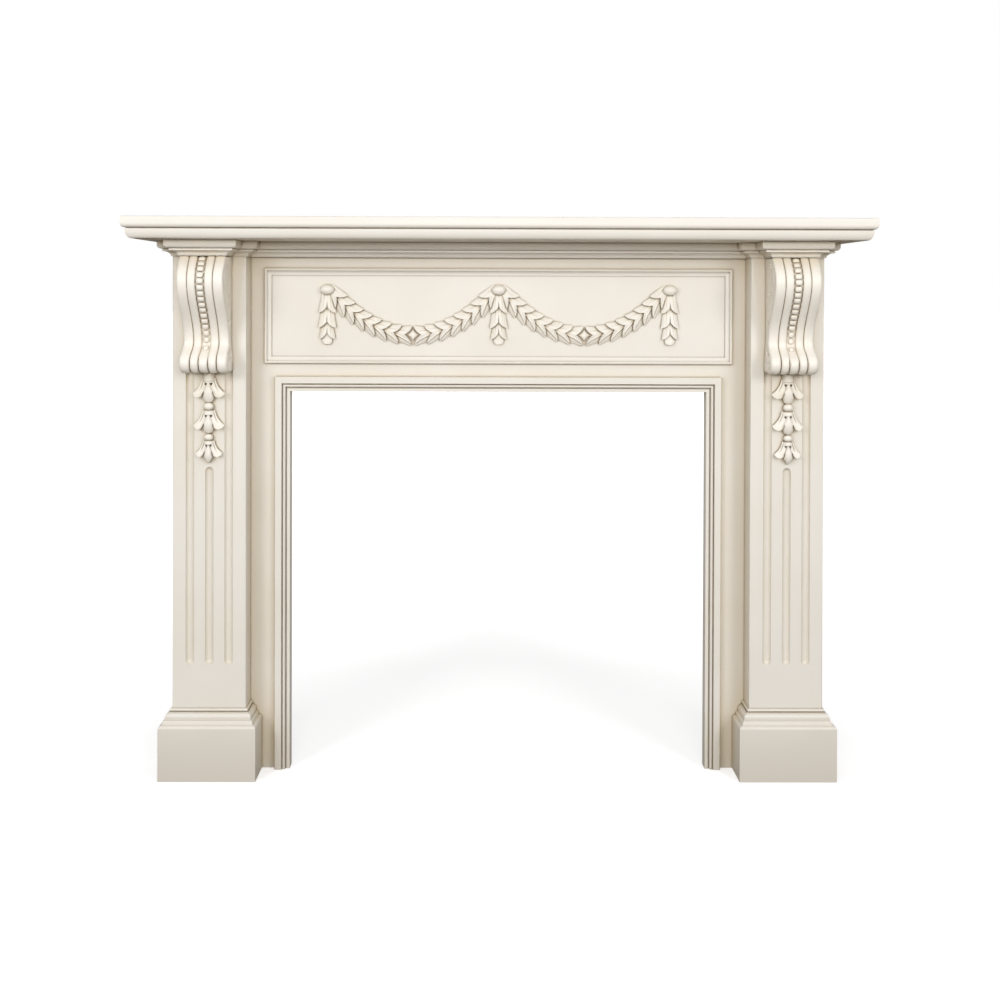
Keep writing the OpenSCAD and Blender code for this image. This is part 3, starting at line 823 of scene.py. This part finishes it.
# How far their points reach beyond the notch, their heights at the foot and at the point, and
# the gap beside the notch
DROP_AHEAD = 14 * MM
DROP_LOW_OUT = 3.5 * MM
DROP_HIGH_OUT = 13 * MM
DROP_SLIT = 1.2 * MM
# The leaf at the drop's end: how far its top tucks in above the last notch, its length, half
# width and height
TIP_TUCK = 4 * MM
TIP_L = 30.5 * MM
TIP_HALF = 12 * MM
TIP_OUT = 8 * MM


def tip_leaf(top):
    """The blunt leaf at a drop's end, with a crease down its middle."""
    rows = []
    for t in np.linspace(0, 1, 17):
        width = TIP_HALF * (0.55 + 0.45 * arch(0.15 + 0.6 * t))
        width *= math.sqrt(1 - max(0.0, (t - 0.8) / 0.2) ** 2 * 0.5)
        row = []
        for a in np.linspace(-1, 1, 17):
            out = TIP_OUT * (1 - 0.4 * a * a) + 1.2 * MM * t - 0.8 * MM * ridge(a, 0, 0.1)
            row.append((a * width, out, top - TIP_L * t))
        rows.append(row)
    return relief(np.array(rows), 0.08)


def swag_drop_parts():
    parts = [ball(0, BOSS_OUT, BOSS_W, BOSS_H, BOSS_D)]
    for notch, back, width in DROP_PAIRS:
        for side in (-1, 1):
            parts.append(lobe((0, -notch), -math.pi / 2, side, back, DROP_AHEAD, width,
                              DROP_LOW_OUT, DROP_HIGH_OUT, DROP_SLIT))
    parts.append(tip_leaf(TIP_TUCK - DROP_PAIRS[-1][0]))
    return parts


# Half a garland hangs as a catenary: this much of its curve, its reach across, its rise from the
# middle to its end, and how far its middle lies under the middle of the drops' bosses
CHAIN = 0.95
SWAG_SPAN = 184 * MM
SWAG_RISE = 91 * MM
SWAG_FALL = 108.5 * MM
# Pairs of leaves in each half, and their pitch as a share of its length
SWAG_PAIRS = 8
LEAF_PITCH = 1 / 7.72
# A garland leaf's reach beyond its notch, its width and the height of its rim
UPPER_LEAF = (15.5 * MM, 22 * MM, 0.0)
LOWER_LEAF = (17.5 * MM, 26 * MM, 1.8 * MM)
# How far a leaf's foot lies behind its notch, and its heights at the foot and at the point
GARLAND_BACK = 30 * MM
GARLAND_LOW_OUT = 2.5 * MM
GARLAND_HIGH_OUT = 13.5 * MM
# The star's reach and height, and the power of its outline, which has hollow sides under 1
STAR_REACH = 14.4 * MM
STAR_OUT = 8 * MM
STAR_POWER = 0.75


def swag_point(share):
    """Point of a hanging line (across, up) whose distance along it from the middle is this share."""
    along = share * math.sinh(CHAIN)
    x = math.asinh(along) / CHAIN
    height = (math.cosh(CHAIN * x) - 1) / (math.cosh(CHAIN) - 1)
    return np.array([x * SWAG_SPAN, height * SWAG_RISE - SWAG_FALL])


def garland_parts():
    parts = []
    for i in range(SWAG_PAIRS):
        share = 1 - i * LEAF_PITCH
        here, nearer = swag_point(share), swag_point(share - 0.02)
        for half in (-1, 1):
            step = (nearer - here) * (half, 1)
            heading = math.atan2(step[1], step[0])
            for side in (-1, 1):
                # On the left half the spine runs the other way, so its lower side is the other one
                lower = side == half
                ahead, width, keel = LOWER_LEAF if lower else UPPER_LEAF
                parts.append(lobe(here * (half, 1), heading, side, GARLAND_BACK, ahead, width,
                                  GARLAND_LOW_OUT, GARLAND_HIGH_OUT, 0, keel))
    parts.append(star_part(swag_point(0)))
    return parts


def star_part(middle):
    """A four-pointed boss with hollow sides where a garland's two halves meet."""

    def place(share, turn):
        across, up = math.cos(turn), math.sin(turn)
        length = (abs(across) ** STAR_POWER + abs(up) ** STAR_POWER) ** (1 / STAR_POWER)
        radius = STAR_REACH * share / length
        height = STAR_OUT * (1 - 0.25 * share ** 2)
        return middle[0] + radius * across, height, middle[1] + radius * up

    return ringed(8, 40, 0.2, place)


# ---- Making the pieces ----

for name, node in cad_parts.items():
    finish_cad_node(name, node)
for side_name in ("left", "right"):
    ease_front_edges(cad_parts[side_name + "_pilaster_front"], EASED_EDGE)

for side_name, side in (("left", -1), ("right", 1)):
    build(side_name + "_carved_corbel", corbel_parts(),
          (side * PILASTER_X, PILASTER_FACE, CAP_FOOT), side, "carving_paint", [side_name + "_corbel"])
    build(side_name + "_carved_husks", husk_drop_parts(),
          (side * PILASTER_X, PILASTER_FACE, HUSK_TOP - STUB_H), side, "carving_paint",
          [side_name + "_husk_drop"])
    build(side_name + "_carved_garland", garland_parts(),
          (side * GARLAND_X, PANEL_FACE, DROP_Z), side, "carving_paint", [side_name + "_garland"])

for side_name, side in (("left", -1), ("centre", 0), ("right", 1)):
    build(side_name + "_carved_drop", swag_drop_parts(), (side * 2 * GARLAND_X, PANEL_FACE, DROP_Z),
          1, "carving_paint", [side_name + "_swag_drop"])


# ---- Floor, light and camera ----

FLOOR_COLOUR = (0.75, 0.75, 0.75)
# The floor's glow rises from one strength to the other between these distances from the origin
FLOOR_NEAR = 0.9
FLOOR_FAR = 2.6
FLOOR_GLOW_NEAR = 0.46
FLOOR_GLOW_FAR = 1.0
# The floor lies this far under the object. The backdrop reaches this far each way, up and down
FLOOR_GAP = 0.2 * MM
STAGE_HALF = 60.0
STAGE_TOP = 40.0
STAGE_BOTTOM = -1.0
# The sky's strength above the horizon and below it, the heights between which it changes, as the
# upward part of a unit vector, and the warm hue below
SKY_ABOVE = 0.52
SKY_BELOW = 0.12
SKY_LOW = -0.25
SKY_HIGH = -0.005
SKY_WARM = (1.0, 0.82, 0.6)
WHITE = (1, 1, 1)
# Place, aim, width, height and watts
SOFTBOXES = {
    "left_softbox": ((-2.2, -2.7, 1.9), (-0.4, 0, 0.8), 1.0, 1.0, 38),
    "right_softbox": ((2.2, -2.7, 1.9), (0.4, 0, 0.8), 1.0, 1.0, 35),
    "front_softbox": ((0, -3.2, 1.45), (0, 0, 1.1), 1.6, 0.5, 41),
}
# The camera: its place across, in front of the wall and up, in metres, its turns in degrees, its
# lens and sensor in millimetres, and its shifts as shares of the picture
CAMERA_X = -0.03693
CAMERA_AWAY = 2.87643
CAMERA_Z = 1.15724
CAMERA_TURN = -0.324
CAMERA_DOWN = 0.439
CAMERA_ROLL = 0.176
LENS = 42.12
SENSOR = 36.0
SHIFT_X = 0.00995
SHIFT_Y = -0.1998


def plain_material(name, colour, glow):
    """A dull colour that glows white at this strength."""
    material = bpy.data.materials.new(name)
    material.use_nodes = True
    shader = material.node_tree.nodes["Principled BSDF"]
    shader.inputs["Base Color"].default_value = (*colour, 1)
    shader.inputs["Roughness"].default_value = 0.9
    shader.inputs["Specular IOR Level"].default_value = 0.0
    shader.inputs["Emission Color"].default_value = (*WHITE, 1)
    shader.inputs["Emission Strength"].default_value = glow
    return material


def floor_material():
    """A pale floor that whitens with distance, so that it runs into the backdrop."""
    material = plain_material("pale_floor", FLOOR_COLOUR, 0.0)
    nodes, links = material.node_tree.nodes, material.node_tree.links
    place = nodes.new("ShaderNodeTexCoord")
    distance = nodes.new("ShaderNodeVectorMath")
    distance.operation = "LENGTH"
    links.new(place.outputs["Object"], distance.inputs[0])
    glow = mapped(nodes, links, distance.outputs["Value"], FLOOR_NEAR, FLOOR_FAR,
                  FLOOR_GLOW_NEAR, FLOOR_GLOW_FAR)
    links.new(glow, nodes["Principled BSDF"].inputs["Emission Strength"])
    return material


def stage_piece(name, points, faces, material):
    """A floor or backdrop that is seen, but neither lights the object nor shades it."""
    mesh = bpy.data.meshes.new(name)
    mesh.from_pydata(points, [], faces)
    mesh.materials.append(material)
    piece = bpy.data.objects.new(name, mesh)
    piece.visible_diffuse = False
    piece.visible_glossy = False
    piece.visible_shadow = False
    bpy.context.scene.collection.objects.link(piece)
    piece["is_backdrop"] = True


def studio_stage():
    corners = [(-STAGE_HALF, -STAGE_HALF), (STAGE_HALF, -STAGE_HALF),
               (STAGE_HALF, STAGE_HALF), (-STAGE_HALF, STAGE_HALF)]
    ground = [(x, y, -FLOOR_GAP) for x, y in corners]
    stage_piece("studio_floor", ground, [(0, 1, 2, 3)], floor_material())
    points = [(x, y, z) for z in (STAGE_BOTTOM, STAGE_TOP) for x, y in corners]
    faces = [(0, 1, 5, 4), (1, 2, 6, 5), (2, 3, 7, 6), (3, 0, 4, 7), (4, 5, 6, 7)]
    stage_piece("studio_backdrop", points, faces, plain_material("white_backdrop", (0, 0, 0), 1.0))


def softbox(name, place, aim, width, height, watts):
    light = bpy.data.lights.new(name, "AREA")
    light.shape = "RECTANGLE"
    light.size = width
    light.size_y = height
    light.energy = watts
    holder = bpy.data.objects.new(name, light)
    holder.location = place
    holder.rotation_euler = (Vector(aim) - Vector(place)).to_track_quat("-Z", "Y").to_euler()
    bpy.context.scene.collection.objects.link(holder)


def studio_world():
    """White above the horizon, and dim and warm below it, as over a wooden studio floor."""
    world = bpy.data.worlds.new("studio")
    world.use_nodes = True
    nodes, links = world.node_tree.nodes, world.node_tree.links
    background = nodes["Background"]
    place = nodes.new("ShaderNodeTexCoord")
    split = nodes.new("ShaderNodeSeparateXYZ")
    links.new(place.outputs["Generated"], split.inputs["Vector"])
    strength = mapped(nodes, links, split.outputs["Z"], SKY_LOW, SKY_HIGH, SKY_BELOW, SKY_ABOVE)
    links.new(strength, background.inputs["Strength"])
    hue = tinted(nodes, links, strength, ((SKY_BELOW, SKY_WARM), (SKY_ABOVE, WHITE)))
    links.new(hue, background.inputs["Color"])
    bpy.context.scene.world = world
    bpy.context.scene.view_settings.view_transform = "Standard"


def studio_camera():
    """Stands a little left of the centre line, level with the frieze, and looks straight at it."""
    data = bpy.data.cameras.new("camera")
    data.lens = LENS
    data.sensor_width = SENSOR
    data.shift_x = SHIFT_X
    data.shift_y = SHIFT_Y
    camera = bpy.data.objects.new("camera", data)
    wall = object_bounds()[1][1]
    place = Matrix.Translation((CAMERA_X, wall - CAMERA_AWAY, CAMERA_Z))
    turn = Matrix.Rotation(math.radians(CAMERA_TURN), 4, "Z")
    tilt = Matrix.Rotation(math.radians(90 - CAMERA_DOWN), 4, "X")
    roll = Matrix.Rotation(math.radians(CAMERA_ROLL), 4, "Z")
    camera.matrix_world = place @ turn @ tilt @ roll
    bpy.context.scene.collection.objects.link(camera)
    bpy.context.scene.camera = camera


studio_stage()
studio_world()
for name, (place, aim, width, height, watts) in SOFTBOXES.items():
    softbox(name, place, aim, width, height, watts)
studio_camera()
